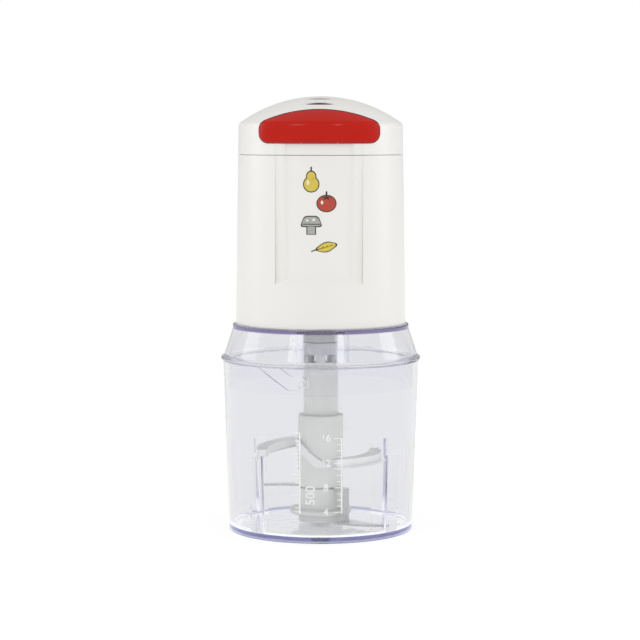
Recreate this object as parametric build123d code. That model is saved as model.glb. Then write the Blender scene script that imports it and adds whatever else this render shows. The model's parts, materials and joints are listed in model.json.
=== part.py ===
from build123d import *

import math
import os

# Compact electric chopper: a motor head stands on a clear twist-lock lid and bowl.
# Millimetres, +Z up, origin in the middle of the bowl's underside, front towards -Y.
# Angles in plan are counted from the front, positive towards +X.

# Clearances and overlaps used throughout
running_gap = 0.05
bearing_gap = 0.03
seat_gap = 0.05
screw_gap = 0.2
weld = 0.2
cut_margin = 1.0

# Bowl
bowl_foot_r = 54.9
bowl_rim_r = 58.4
bowl_height = 101.8
bowl_wall = 2.6
bowl_floor = 3.2
bowl_corner_r = 3.0
foot_edge_r = 0.8
foot_ring_width = 7.0
foot_recess = 0.8
rib_angles = (-43.0, 52.0, 137.0, -133.0)
rib_width = 9.5
rib_depth = 1.6
rib_height = 46.3
floor_boss_r = 6.5
floor_boss_height = 1.4

# Bayonet: two lugs on the lid's skirt run in two channels inside the bowl's rim
lug_angles = (-10.0, 170.0)
lug_r = 2.0
lug_drop = 9.1
lug_sag = 0.6
lug_tip_gap = 0.4
channel_play = 2.0
channel_level = 6.5
channel_ramp = 33.0
channel_skin = 0.9
channel_turn = 10.0

# Lid
rim_gap = 0.6
lid_overhang = 1.2
lid_rim_edge = 1.4
lid_rim_round = 0.45
lid_shoulder_in = 1.7
lid_shoulder_rise = 3.0
lid_shoulder_round = 1.2
lid_ledge_rise = 2.8
lid_ledge_slope = 0.9
lid_height = 21.15
lid_wall = 2.2
lid_top_round = 0.6
lid_margin = 2.0
skirt_gap = 0.55
skirt_wall = 1.8
skirt_depth = 16.2
seal_width = 1.8
seal_height = 1.0
seal_gap = 0.1
collar_r = 17.0
collar_wall = 2.0
collar_drop = 1.1
locating_ring_wall = 1.6
locating_ring_height = 3.9
locating_gap = 0.4

# Blade hub and its pin
pin_r = 4.0
pin_depth = 2.0
pin_round = 2.4
pin_cover = 5.0
thrust_gap = 0.2
bush_wall = 4.0
hub_r = 13.4
hub_play = 1.4
hub_edge_r = 1.2
hub_lower_height = 20.3
flange_r = 18.5
flange_thick = 3.0
flange_rise = 4.8
neck_r = 10.2
neck_length = 24.1
clutch_rise = -2.2
clutch_height = 6.3
clutch_recess = 2.0
root_sink = 1.0

# Blades: plan angles from a wing's own direction, and radii counted in from the tip
blade_thick = 1.2
tip_gap = 3.9
eye_gap = 1.4
eye_rim = 1.0
wing_drop_r = 20.2
drop_width = 5.0
low_wing_gap = 2.0
low_wing_turn = 46.0
high_wing_turn = 256.0
high_wing_short = 12.0
arm_height = 4.2
low_arm_rise = 12.2
arm_step = 12.4
low_arm_turn = 0.0
high_arm_turn = 180.0
low_arm_lean = -2.5
high_arm_lean = 5.5
arm_middle = 110.0
arm_tip_round = 1.6
arm_plan = {"root": (-5.0, 50.0), "bow": ((78.0, 19.5), (94.0, 26.0)),
            "tip": ((128.0, 2.5), (135.0, 4.5))}
edge_plan = {"root": (-12.0, 48.0), "bow": ((76.0, 18.0), (92.0, 25.0)),
             "tip": ((126.0, 0.5), (132.0, 3.5))}
wing_plan = {"root": (-22.0, 22.0), "bow": ((-4.0, 13.5), (11.0, 15.5)),
             "tip": ((10.0, 0.0), (13.5, 0.5))}
shelf_thick = 4.6
shelf_width = 2.2
shelf_tilt = 38.0
shelf_low_angle = 55.0
shelf_middle = -35.0
shelf_half_angle = 59.0

# Dog clutch between motor and blade
dog_count = 3
dog_span = 30.0
dog_height = 5.0
dog_inner_r = 5.6
dog_gap = 0.4
coupling_length = 12.2
shaft_seat = 1.0

# Motor head
head_gap = 0.2
head_foot_r = 50.6
head_draft = 1.9
head_height = 134.75
dome_r = 81.0
shoulder_round = 3.0
foot_round = 0.8
head_wall = 2.4
cover_height = 34.4
seam_gap = 0.3
tongue_wall = 1.6
tongue_height = 4.0
tongue_gap = 0.15
tongue_break = 6.0
recess_rise = 30.25
recess_depth = 1.5
recess_floor_angle = 22.8
recess_step = 1.1
recess_step_angle = 24.6
recess_flare = 0.5
recess_edge_angle = 31.4
recess_round = 1.0
recess_slope = 4.5
recess_wall = 2.0
vent_rows = (-26.6, -16.0, 16.0, 26.6)
vent_length = 20.0
vent_width = 4.4
vent_pad_sink = 0.5
grommet_drop = 18.2
grommet_r = 6.0
grommet_bore_r = 3.2
grommet_flange_r = 8.0
grommet_flange = 1.6

# Button and switch
button_rise = 7.1
button_height = 19.1
button_half_width = 34.8
button_arc_r = 82.6
button_round = 5.4
button_gap = 0.4
button_proud = 1.0
button_wall = 2.2
button_edge_r = 0.7
button_end_depth = 2.0
button_tunnel = 12.0
button_travel = 3.5
hook_x = 14.0
hook_width = 6.0
hook_thick = 2.5
hook_drop = 2.0
hook_gap = 0.3
peg_x = 20.0
peg_rise = 7.7
peg_r = 2.2
peg_gap = 0.25
peg_end = 1.0
peg_collar_r = 4.6
peg_collar = 2.0
spring_r = 3.5
spring_wire_r = 0.35
spring_turns = 6
spring_room = 10.5
guide_wall = 2.0
guide_half_width = 6.0
shelf_rise = 3.4
shelf_plate = 2.2
shelf_margin = 5.0
shelf_post_x = 27.0
shelf_post_back = 16.0
shelf_post_r = 3.6
switch_size = (20.0, 15.0, 15.0)
switch_edge = 0.8
switch_setback = 4.5
plunger_r = 2.4
plunger_reach = 5.0
plunger_depth = 7.0
plunger_stop = 0.5
pusher_rim = 1.0

# Motor
shaft_r = 4.0
shaft_end = 2.0
plate_clearance = 1.0
plate_thick = 2.6
plate_gap = 0.3
sleeve_gap = 0.4
sleeve_play = 2.0
bearing_wall = 4.0
bush_length = 9.0
bush_seat = 0.5
seat_wall = 4.0
stack_rise = 26.0
stack_height = 30.0
stator_r = 31.0
yoke_wall = 6.0
armature_r = 18.0
air_gap = 0.4
pole_half_angle = 55.0
coil_half_angle = 80.0
coil_slack_angle = 2.0
coil_overhang = 6.5
coil_lift = 0.8
slot_count = 12
slot_width = 3.4
slot_depth = 6.0
winding_gap = 0.2
winding_core = 2.0
commutator_rise = 9.0
commutator_height = 12.0
commutator_r = 11.0
riser = 2.0
groove_width = 0.6
groove_depth = 1.0
fan_rise = 10.5
fan_r = 26.5
fan_height = 8.0
fan_hub_wall = 3.0
fan_disc = 1.4
fan_blades = 10
fan_blade_thick = 1.4
bracket_rise = 2.0
bracket_thick = 3.0
bracket_width = 18.0
post_offset = 3.5
post_r = 4.2
motor_screw_r = 1.6
screw_head_r = 3.2
screw_head = 1.8
screw_bite = 12.0
base_screw_angles = (45.0, 135.0, 225.0, 315.0)
base_screw_inset = 8.3
boss_r = 4.0
boss_height = 20.0
brush_size = (5.0, 6.0)
brush_length = 9.0
brush_play = 0.1
holder_gap = 3.0
holder_wall = 1.0
holder_length = 14.0
brush_spring_r = 1.7
brush_spring_wire_r = 0.25
brush_spring_turns = 4
wire_r = 1.1
wire_bend_r = 3.2
wire_x = 6.0
wire_run = 9.0
wire_drop = 8.0
wire_side = 7.0

# Heights that follow from the sizes above, from the bowl up to the dome
rib_top = bowl_floor + rib_height
lug_z = bowl_height - lug_drop
channel_width = 2 * (lug_r + channel_play)
rim_z = bowl_height + rim_gap
lid_top = rim_z + lid_height
hub_low = bowl_floor + floor_boss_height + thrust_gap
hub_joint = hub_low + hub_lower_height
blade_deck = hub_joint + blade_thick
low_wing_z = bowl_floor + low_wing_gap
low_arm_z = blade_deck + low_arm_rise
high_arm_z = low_arm_z + arm_step
clutch_face = bowl_height + clutch_rise
clutch_bottom = clutch_face - clutch_height
hub_shoulder = clutch_bottom - neck_length
pin_top = hub_shoulder - pin_cover
collar_bottom = clutch_face - collar_drop
coupling_low = clutch_face + dog_gap
coupling_top = coupling_low + coupling_length
sleeve_bottom = coupling_top + sleeve_gap
head_low = lid_top + head_gap
head_top = head_low + head_height
dome_centre = head_top - dome_r
seam_z = head_top - cover_height
recess_bottom = head_low + recess_rise
grommet_z = seam_z - grommet_drop
button_bottom = seam_z + button_rise
button_top = button_bottom + button_height
peg_z = button_bottom + peg_rise
shelf_z = seam_z + shelf_rise
shelf_top = shelf_z + shelf_plate
plate_z = lid_top + locating_ring_height + plate_clearance
deck_z = plate_z + plate_thick
lower_bush_z = deck_z - plate_thick / 2
fan_z = deck_z + fan_rise
stack_z = deck_z + stack_rise
stack_top = stack_z + stack_height
commutator_z = stack_top + commutator_rise
commutator_top = commutator_z + commutator_height
brush_z = commutator_z + commutator_height / 2
bracket_z = commutator_top + bracket_rise
bracket_top = bracket_z + bracket_thick
upper_bush_z = bracket_z + bush_seat
shaft_top = bracket_z + bush_length + shaft_end

# Radii and depths that follow
lid_rim_r = bowl_rim_r + lid_overhang
lid_shoulder_r = lid_rim_r - lid_shoulder_in
lid_top_r = head_foot_r + lid_margin
hub_bore_r = pin_r + hub_play
hub_bush_r = pin_r + bush_wall
blade_tip_r = bowl_foot_r - bowl_wall - rib_depth - tip_gap
head_shoulder_r = head_foot_r - head_draft
beyond = head_foot_r + 20.0
recess_floor_r = head_shoulder_r - recess_depth
bush_r = shaft_r + bearing_wall
yoke_r = stator_r - yoke_wall
post_radius = stator_r + post_offset
base_screw_radius = head_foot_r - base_screw_inset
holder_near = commutator_r + holder_gap
holder_end = holder_near + holder_length
button_back_y = button_end_depth - math.sqrt(head_shoulder_r ** 2 - button_half_width ** 2)
guide_y = button_back_y + peg_collar + spring_room
switch_front_y = button_back_y + switch_setback
shelf_post_y = switch_front_y + shelf_post_back


def spot(angle, radius):
    """Plan point at an angle from the front and a radius from the axis."""
    turn = math.radians(angle)
    return (radius * math.sin(turn), -radius * math.cos(turn))


def disc(radius, low, high):
    """Upright cylinder about the axis."""
    return Pos(0, 0, low) * Cylinder(radius, high - low, align=(Align.CENTER, Align.CENTER, Align.MIN))


def ring(outer, inner, low, high):
    """Upright tube about the axis."""
    return disc(outer, low, high) - disc(inner, low, high)


def corner_of(outline, point):
    """The vertex of an outline that lies nearest to a point."""
    return outline.vertices().sort_by_distance((*point, 0))[0]


def turned(*points, rounds=()):
    """Solid of revolution about the axis through (radius, height) points, some of them rounded."""
    outline = make_face(Polyline(*points, close=True))
    for point, radius in rounds:
        outline = fillet(corner_of(outline, point), radius)
    return revolve(Plane.XZ * outline, Axis.Z)


def raised(outline, low, high):
    """A plan outline raised from one height to another."""
    return extrude(Pos(0, 0, low) * outline, high - low)


def sector(outer, inner, middle, half_angle, low, high):
    """Piece of a tube, half_angle to each side of a plan angle."""
    reach = 2 * outer / math.cos(math.radians(half_angle / 3))
    sides = [spot(middle + half_angle * share, reach) for share in (-1, -1 / 3, 1 / 3, 1)]
    wedge = make_face(Polyline((0, 0), *sides, close=True))
    return raised(wedge, low, high) & ring(outer, inner, low, high)


def pin_along(way, base, radius, length):
    """Cylinder from a base point along a direction."""
    place = Plane(origin=base, z_dir=way)
    return place * Cylinder(radius, length, align=(Align.CENTER, Align.CENTER, Align.MIN))


def radial_pin(radius, inner, outer, angle, height):
    """Cylinder pointing outwards along a plan angle."""
    return pin_along((*spot(angle, 1.0), 0), (*spot(angle, inner), height), radius, outer - inner)


def front_pin(radius, x, z, near_y, far_y):
    """Cylinder along +Y from near_y to far_y."""
    return pin_along((0, 1, 0), (x, near_y, z), radius, far_y - near_y)


def block(x, y, z):
    """Box from (low, high) pairs along each axis."""
    return Pos(x[0], y[0], z[0]) * Box(x[1] - x[0], y[1] - y[0], z[1] - z[0], align=Align.MIN)


def about(middle, half):
    """The (low, high) pair that reaches half to each side of a middle."""
    return (middle - half, middle + half)


def post(x, y, radius, low, high):
    """Upright cylinder at a plan point."""
    return Pos(x, y, 0) * disc(radius, low, high)


def around(count, piece):
    """Copies of a piece, evenly turned about the axis."""
    return [Rot(0, 0, 360.0 * number / count) * piece for number in range(count)]


def spring(start, length, mean_r, wire_r, turns):
    """Coil along +Y: two tangent arcs to each quarter turn of the helix."""
    rise = length / turns / (2 * math.pi)

    def on_helix(step):
        turn = step * math.pi / 2
        return Vector(mean_r * math.cos(turn), rise * turn, mean_r * math.sin(turn))

    def heading(step):
        turn = step * math.pi / 2
        return Vector(-mean_r * math.sin(turn), rise, mean_r * math.cos(turn)).normalized()

    edges = []
    for step in range(4 * turns):
        near, far = on_helix(step), on_helix(step + 1)
        near_way, far_way = heading(step), heading(step + 1)
        chord, ways = far - near, near_way + far_way
        spread = 2 * (1 - near_way.dot(far_way))
        pull = chord.dot(ways)
        reach = (-pull + math.sqrt(pull * pull + spread * chord.dot(chord))) / spread
        middle = (near + near_way * reach + far - far_way * reach) * 0.5
        joint_way = (far - far_way * reach - near - near_way * reach).normalized()
        edges.append(TangentArc(near, middle, tangent=near_way))
        edges.append(TangentArc(middle, far, tangent=joint_way))
    section = Plane(origin=on_helix(0), z_dir=heading(0)) * Circle(wire_r)
    return Pos(*start) * sweep(section, path=Wire(edges))


def screws(spots, seat, end, head_below):
    """Identical screws at plan points: a shank from seat to end, and a head outside the seat."""
    low, high = (seat - screw_head, seat) if head_below else (seat, seat + screw_head)
    shank = sorted((seat, end))
    return [post(x, y, motor_screw_r, *shank) + post(x, y, screw_head_r, low, high) for x, y in spots]


# Bowl: revolved shell, ribs inside the wall and two bayonet channels cut into it from inside
def bowl_inner_r(height):
    return bowl_foot_r + (bowl_rim_r - bowl_foot_r) * height / bowl_height - bowl_wall


def bayonet_channel(angle):
    """Level pocket and ramp up to the rim, as a groove that leaves a skin outside."""
    middle = angle - channel_turn
    pocket = (bowl_inner_r(lug_z) * math.sin(math.radians(channel_turn)), lug_z + lug_sag)
    turn = (pocket[0] - channel_level, pocket[1])
    rise = bowl_height - turn[1] + channel_width
    mouth = (turn[0] - rise / math.tan(math.radians(channel_ramp)), turn[1] + rise)
    outline = Pos(*pocket) * Circle(channel_width / 2) + Pos(*turn) * Circle(channel_width / 2)
    for start, end in ((pocket, turn), (turn, mouth)):
        run = math.dist(start, end)
        tilt = math.degrees(math.atan2(end[1] - start[1], end[0] - start[0]))
        centre = ((start[0] + end[0]) / 2, (start[1] + end[1]) / 2)
        outline += Pos(*centre) * Rot(0, 0, tilt) * Rectangle(run, channel_width)
    across = Plane(origin=(0, 0, 0), x_dir=(*spot(middle + 90.0, 1.0), 0), z_dir=(*spot(middle, 1.0), 0))
    prism = extrude(across * outline, bowl_rim_r)
    low, high = lug_z - channel_width, bowl_height + cut_margin
    skin_low = bowl_inner_r(low) + bowl_wall - channel_skin
    skin_top = bowl_rim_r - channel_skin
    band = turned((skin_low - 2 * bowl_wall, low), (skin_low, low), (skin_top, bowl_height), (skin_top, high),
                  (skin_low - 2 * bowl_wall, high))
    return prism & band


def make_bowl():
    foot, rim = (bowl_foot_r, 0), (bowl_rim_r, bowl_height)
    corner = (bowl_inner_r(bowl_floor), bowl_floor)
    lip = (bowl_inner_r(bowl_height), bowl_height)
    bowl = turned((0, 0), foot, rim, lip, corner, (0, bowl_floor),
                  rounds=((foot, foot_edge_r), (corner, bowl_corner_r)))
    rib_foot_r, rib_top_r = bowl_inner_r(bowl_floor), bowl_inner_r(rib_top)
    ribs = turned((rib_foot_r - rib_depth, bowl_floor), (rib_foot_r, bowl_floor), (rib_top_r, rib_top),
                  (rib_top_r - rib_depth, rib_top))
    for angle in rib_angles:
        bar = block(about(0, rib_width / 2), (-bowl_rim_r, 0), (bowl_floor, rib_top))
        bowl += ribs & (Rot(0, 0, angle) * bar)
    bowl += disc(floor_boss_r, bowl_floor, bowl_floor + floor_boss_height)
    bowl -= disc(bowl_foot_r - foot_ring_width, 0, foot_recess)
    bowl -= disc(pin_r, bowl_floor - pin_depth, hub_low)
    for angle in lug_angles:
        bowl -= bayonet_channel(angle)
    return bowl


def make_spindle_pin():
    pin = disc(pin_r, bowl_floor - pin_depth, pin_top)
    return fillet(pin.edges().sort_by(Axis.Z)[-1], pin_round)


# Blade: two stacked mouldings on a bush, with a steel blade in the joint and one under the arms
def swept_outline(plan, turn, root_r, tip_r=blade_tip_r):
    """Sickle between two arcs, each through a root, a bowed middle and a tip."""
    sides = []
    for root, (bow, bow_in), (tip, tip_in) in zip(plan["root"], plan["bow"], plan["tip"]):
        sides.append([spot(turn + root, root_r), spot(turn + bow, tip_r - bow_in),
                      spot(turn + tip, tip_r - tip_in)])
    lead, trail = sides
    return make_face([ThreePointArc(*lead), Line(lead[2], trail[2]),
                      ThreePointArc(*trail), Line(trail[0], lead[0])])


arms = ((high_arm_turn, high_arm_z, high_arm_lean), (low_arm_turn, low_arm_z, low_arm_lean))


def leaned(outline, turn, low, high, lean, pivot):
    """A raised arm outline, leaned about the axis so that its tip goes down."""
    middle = turn + arm_middle
    way = Pos(0, 0, pivot) * Rot(0, 0, middle) * Rot(lean, 0, 0) * Rot(0, 0, -middle) * Pos(0, 0, -pivot)
    return way * raised(outline, low, high)


def make_lower_blade():
    blade = ring(hub_r - eye_rim, hub_bush_r + eye_gap, hub_joint, blade_deck)
    high_wing = swept_outline(wing_plan, high_wing_turn, neck_r, blade_tip_r - high_wing_short)
    blade += raised(high_wing, hub_joint, blade_deck)
    drop_y = -wing_drop_r - blade_thick
    strip = block(about(0, drop_width / 2), (drop_y, -neck_r), (hub_joint, blade_deck))
    strip += block(about(0, drop_width / 2), (drop_y, -wing_drop_r), (low_wing_z, blade_deck))
    blade += Rot(0, 0, low_wing_turn) * strip
    low_wing = swept_outline(wing_plan, low_wing_turn, wing_drop_r)
    return blade + raised(low_wing, low_wing_z, low_wing_z + blade_thick)


def make_upper_blade():
    edges = [leaned(swept_outline(edge_plan, turn, neck_r), turn, z - blade_thick, z, lean, z)
             for turn, z, lean in arms]
    return [edge - disc(hub_r, 0, hub_shoulder) for edge in edges]


def make_hub_lower():
    flange_z = hub_low + flange_rise
    hub = disc(hub_r, hub_low, hub_joint) + disc(flange_r, flange_z, flange_z + flange_thick)
    rim = hub.edges().filter_by(GeomType.CIRCLE).filter_by(lambda edge: edge.radius > hub_r + weld)
    return fillet(rim, hub_edge_r) - disc(hub_bush_r, 0, hub_joint)


def make_hub_bush():
    return ring(hub_bush_r, pin_r + running_gap, hub_low, hub_joint)


def make_hub_upper():
    shoulder = (hub_r, hub_shoulder)
    hub = turned((hub_bore_r, blade_deck), (hub_r, blade_deck), shoulder, (neck_r, hub_shoulder),
                 (neck_r, clutch_bottom), (hub_bore_r, clutch_bottom), rounds=[(shoulder, hub_edge_r)])
    arms_top = high_arm_z + arm_height
    shelf_r, root_r = hub_r + shelf_width, hub_bore_r + root_sink
    slab = Rot(0, 0, shelf_low_angle) * Rot(shelf_tilt, 0, 0) * Cylinder(2 * shelf_r, shelf_thick)
    slab = Pos(0, 0, (low_arm_z + arms_top) / 2) * slab
    hub += slab & sector(shelf_r, root_r, shelf_middle, shelf_half_angle, low_arm_z, arms_top)
    for turn, z, lean in arms:
        outline = swept_outline(arm_plan, turn, neck_r)
        outline = fillet(outline.vertices().sort_by_distance((0, 0, 0))[-2:], arm_tip_round)
        hub += leaned(outline, turn, z, z + arm_height, lean, z) - disc(root_r, 0, hub_shoulder)
    for edge in make_upper_blade():
        hub -= edge
    return hub


def dogs(offset, low):
    """Claws of the clutch, standing between low and low + dog_height."""
    claw = sector(neck_r, dog_inner_r, offset, dog_span / 2, low, low + dog_height)
    return around(dog_count, claw)


def make_blade_clutch():
    clutch = disc(neck_r, clutch_bottom, clutch_face)
    clutch -= disc(dog_inner_r, clutch_face - clutch_recess, clutch_face)
    for dog in dogs(180.0 / dog_count, clutch_face):
        clutch += dog
    return clutch


def make_drive_coupling():
    body_z = coupling_low + dog_height
    coupling = disc(neck_r, body_z, coupling_top) - disc(shaft_r, body_z + shaft_seat, coupling_top)
    for dog in dogs(0.0, coupling_low):
        coupling += dog
    return coupling


# Lid: revolved cone with top plate, collar, locating ring, skirt and seal groove, plus two lugs
skirt_r = bowl_inner_r(rim_z - skirt_depth) - skirt_gap
seal_inner_r = bowl_rim_r - bowl_wall / 2 - seal_width / 2


def make_lid():
    plate_low = lid_top - lid_wall
    slope = (lid_shoulder_r - lid_top_r) / (plate_low - rim_z - lid_shoulder_rise)
    ledge_z = rim_z + lid_ledge_rise
    cone_top_r = lid_top_r - lid_wall
    cone_low_r = cone_top_r + slope * (plate_low - ledge_z)
    locating_r = head_foot_r - head_wall - locating_gap
    locating_top = lid_top + locating_ring_height
    groove_in, groove_out = seal_inner_r - seal_gap, seal_inner_r + seal_width + seal_gap
    groove_top = bowl_height + seal_height + 2 * seal_gap
    bore_r, skirt_in = collar_r - collar_wall, skirt_r - skirt_wall
    rim_low, rim_high = (lid_rim_r, rim_z), (lid_rim_r, rim_z + lid_rim_edge)
    shoulder, crown = (lid_shoulder_r, rim_z + lid_shoulder_rise), (lid_top_r, lid_top)
    outside = [rim_low, rim_high, shoulder, (lid_top_r, plate_low), crown]
    locating_in = locating_r - locating_ring_wall
    top = [(locating_r, lid_top), (locating_r, locating_top), (locating_in, locating_top),
           (locating_in, lid_top), (bore_r, lid_top)]
    inside = [(bore_r, collar_bottom), (collar_r, collar_bottom), (collar_r, plate_low),
              (cone_top_r, plate_low), (cone_low_r, ledge_z), (skirt_in, ledge_z - lid_ledge_slope),
              (skirt_in, rim_z - skirt_depth)]
    underside = [(skirt_r, rim_z - skirt_depth), (skirt_r, rim_z), (groove_in, rim_z),
                 (groove_in, groove_top), (groove_out, groove_top), (groove_out, rim_z)]
    rounds = ((rim_low, lid_rim_round), (rim_high, lid_rim_round), (shoulder, lid_shoulder_round),
              (crown, lid_top_round))
    lid = turned(*outside, *top, *inside, *underside, rounds=rounds)
    tip = bowl_inner_r(lug_z) + bowl_wall - channel_skin - lug_tip_gap
    for angle in lug_angles:
        lid += radial_pin(lug_r, skirt_r - skirt_wall / 2, tip, angle, lug_z)
    return lid


def make_lid_seal():
    low = bowl_height + seal_gap
    return ring(seal_inner_r + seal_width, seal_inner_r, low, low + seal_height)


# Motor head: one outer form, inset for its cavity and proud for the button
def head_form(inset):
    """The head's form moved inwards by inset: drafted wall, round shoulder, domed top."""
    foot, shoulder, crown = head_foot_r - inset, head_shoulder_r - inset, dome_r - inset
    shoulder_z = dome_centre + math.sqrt(crown ** 2 - shoulder ** 2)
    middle = shoulder / 2
    middle_z = dome_centre + math.sqrt(crown ** 2 - middle ** 2)
    apex = (0, dome_centre + crown)
    outline = make_face([
        Line((0, head_low), (foot, head_low)), Line((foot, head_low), (shoulder, shoulder_z)),
        ThreePointArc((shoulder, shoulder_z), (middle, middle_z), apex), Line(apex, (0, head_low))])
    outline = fillet(corner_of(outline, (shoulder, shoulder_z)), max(shoulder_round - inset, foot_round))
    return revolve(Plane.XZ * outline, Axis.Z)


def head_r(height):
    """Outer radius of the drafted wall at a height."""
    shoulder_z = dome_centre + math.sqrt(dome_r ** 2 - head_shoulder_r ** 2)
    return head_foot_r - head_draft * (height - head_low) / (shoulder_z - head_low)


def recess_outline(inset):
    """Plan of the front recess: floor arc, small step, slope and a side that faces the middle."""
    floor_r = recess_floor_r - inset
    edge_r = recess_floor_r + recess_step + recess_flare
    floor, step = spot(recess_floor_angle, floor_r), spot(recess_step_angle, floor_r + recess_step)
    side = spot(recess_edge_angle, edge_r)[0] + inset
    edge = (side, -math.sqrt((edge_r - inset) ** 2 - side ** 2))
    right = [floor, step, edge, (side, -beyond)]
    left = [(-x, y) for x, y in reversed(right)]
    outline = make_face([ThreePointArc(left[-1], (0, -floor_r), floor), Polyline(*right),
                         Line(right[-1], left[0]), Polyline(*left)])
    for point in (floor, step, left[-1], left[-2]):
        outline = fillet(corner_of(outline, point), recess_round)
    return outline


def recess_cutter():
    """The recess from its sloped lower end up to the button."""
    low = recess_bottom - 2 * recess_slope
    lip = head_r(recess_bottom) - recess_floor_r
    ramp = turned((0, low), (recess_floor_r + 2 * lip, low), (recess_floor_r, recess_bottom),
                  (0, recess_bottom))
    return raised(recess_outline(0), low, button_bottom) - ramp


def head_shell():
    """Outer form with the recess, hollowed to an even wall behind it."""
    form = head_form(0)
    form = fillet(form.edges().sort_by(Axis.Z)[0], foot_round) - recess_cutter()
    backing = raised(recess_outline(recess_wall), recess_bottom - recess_slope - recess_wall, button_bottom)
    return form - (head_form(head_wall) - backing)


def button_outline(grow):
    """Front view of the button: flat foot, round ends and a top edge that follows the dome."""
    low, half = button_bottom - grow, button_half_width + grow
    arc_r = button_arc_r + grow
    side = button_top - button_arc_r + math.sqrt(arc_r ** 2 - half ** 2)
    outline = make_face([Line((-half, low), (half, low)), Line((half, low), (half, side)),
                         ThreePointArc((half, side), (0, button_top + grow), (-half, side)),
                         Line((-half, side), (-half, low))])
    return fillet(outline.vertices(), button_round + grow)


def front_prism(outline, back_y):
    """A front-view outline carried forward from back_y to beyond the head."""
    front = Plane(origin=(0, back_y, 0), x_dir=(1, 0, 0), z_dir=(0, -1, 0))
    return extrude(front * outline, back_y + beyond)


def vent_slots(grow):
    """Lens-shaped slots through the dome in two rows before and behind the crown."""
    reach, rise = vent_length / 2 + grow, vent_width / 2 + grow
    slots = []
    for row in vent_rows:
        lens = make_face([ThreePointArc((-reach, row), (0, row - rise), (reach, row)),
                          ThreePointArc((reach, row), (0, row + rise), (-reach, row))])
        slots.append(raised(lens, button_bottom, head_top + cut_margin))
    return slots


def cover_tongue():
    """Ring inside the seam that locates the cover in the housing, open behind the recess."""
    outer = head_r(seam_z) - head_wall - tongue_gap
    inner = outer - tongue_wall
    tongue = ring(outer, inner, seam_z - tongue_height, seam_z + tongue_height)
    tongue += ring(outer + head_wall / 2, inner, seam_z + tongue_height / 2, seam_z + tongue_height)
    half_angle = recess_edge_angle + tongue_break
    return tongue - sector(head_foot_r, yoke_r, 0.0, half_angle, *about(seam_z, 2 * tongue_height))


def make_top_cover(shell):
    cover = shell & disc(beyond, seam_z + seam_gap / 2, head_top + cut_margin)
    cover += cover_tongue()
    cover -= front_prism(button_outline(button_gap), button_back_y + button_tunnel)
    for slot in vent_slots(0):
        cover -= slot
    for x, y in shelf_screw_spots:
        cover += post(x, y, shelf_post_r, shelf_top, head_top) & head_form(head_wall / 2)
        cover -= post(x, y, motor_screw_r, shelf_top, shelf_top + screw_bite)
    return cover


def make_vent_pads():
    """Foam pads that fill the slots up to a little below the dome's surface."""
    skin = head_form(vent_pad_sink) - head_form(head_wall)
    return [slot & skin for slot in vent_slots(-seat_gap)]


def make_motor_housing(shell):
    housing = shell & disc(beyond, head_low, seam_z - seam_gap / 2)
    boss_top = deck_z + boss_height
    for angle, (x, y) in zip(base_screw_angles, base_screw_spots):
        web = block(about(0, boss_r / 2), (-head_foot_r, -base_screw_radius), (deck_z, boss_top))
        boss = post(x, y, boss_r, deck_z, boss_top) + Rot(0, 0, angle) * web
        housing += boss & head_form(head_wall / 2)
        housing -= post(x, y, motor_screw_r, deck_z, deck_z + screw_bite)
    return housing - radial_pin(grommet_r, stator_r, beyond, 180.0, grommet_z)


def make_cord_grommet(housing):
    outer = head_r(grommet_z)
    inner = outer - head_wall - 2 * grommet_flange
    grommet = radial_pin(grommet_flange_r, inner, outer + grommet_flange, 180.0, grommet_z) - housing
    return grommet - radial_pin(grommet_bore_r, stator_r, beyond, 180.0, grommet_z)


def make_base_plate():
    plate = disc(head_r(plate_z) - head_wall - plate_gap, plate_z, deck_z)
    plate += disc(bush_r + seat_wall, deck_z, lower_bush_z + bush_length)
    plate += disc(neck_r, sleeve_bottom, plate_z)
    plate -= disc(shaft_r + sleeve_play, sleeve_bottom, deck_z)
    plate -= disc(bush_r, lower_bush_z, deck_z + bush_length)
    for x, y in motor_screw_spots:
        plate += post(x, y, post_r, deck_z, stack_z)
        plate -= post(x, y, motor_screw_r, stack_z - screw_bite, stack_z)
    for x, y in base_screw_spots:
        plate -= post(x, y, motor_screw_r + screw_gap, plate_z, deck_z)
    return plate


# Button, its springs and the switch behind it
def make_button():
    button = front_prism(button_outline(0), button_back_y) & head_form(-button_proud)
    rim = button.edges().filter_by(lambda edge: edge.center().Y < button_back_y - weld)
    button = fillet(rim, button_edge_r)
    wall_depth = button_wall - button_proud
    button -= front_prism(button_outline(-button_wall), button_back_y + cut_margin) & head_form(wall_depth)
    hook_front = hook_gap - math.sqrt((recess_floor_r - recess_wall) ** 2 - (hook_x + hook_width / 2) ** 2)
    peg_root = wall_depth - weld - math.sqrt(head_r(peg_z) ** 2 - peg_x ** 2)
    for side in (-1, 1):
        button += front_pin(peg_r, side * peg_x, peg_z, peg_root, guide_y + guide_wall + peg_end)
        button += front_pin(peg_collar_r, side * peg_x, peg_z, peg_root, button_back_y + peg_collar)
        button += block(about(side * hook_x, hook_width / 2), (hook_front, hook_front + hook_thick),
                        (button_bottom - hook_drop, button_bottom + button_wall / 2))
    pusher_root = wall_depth - weld - head_r(peg_z)
    pusher_end = switch_front_y - plunger_reach - seal_gap
    return button + front_pin(plunger_r + pusher_rim, 0, peg_z, pusher_root, pusher_end)


def make_button_springs():
    start_y = button_back_y + peg_collar + spring_wire_r + seat_gap
    length = guide_y - spring_wire_r - seat_gap - start_y
    return [spring((side * peg_x, start_y, peg_z), length, spring_r, spring_wire_r, spring_turns)
            for side in (-1, 1)]


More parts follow.
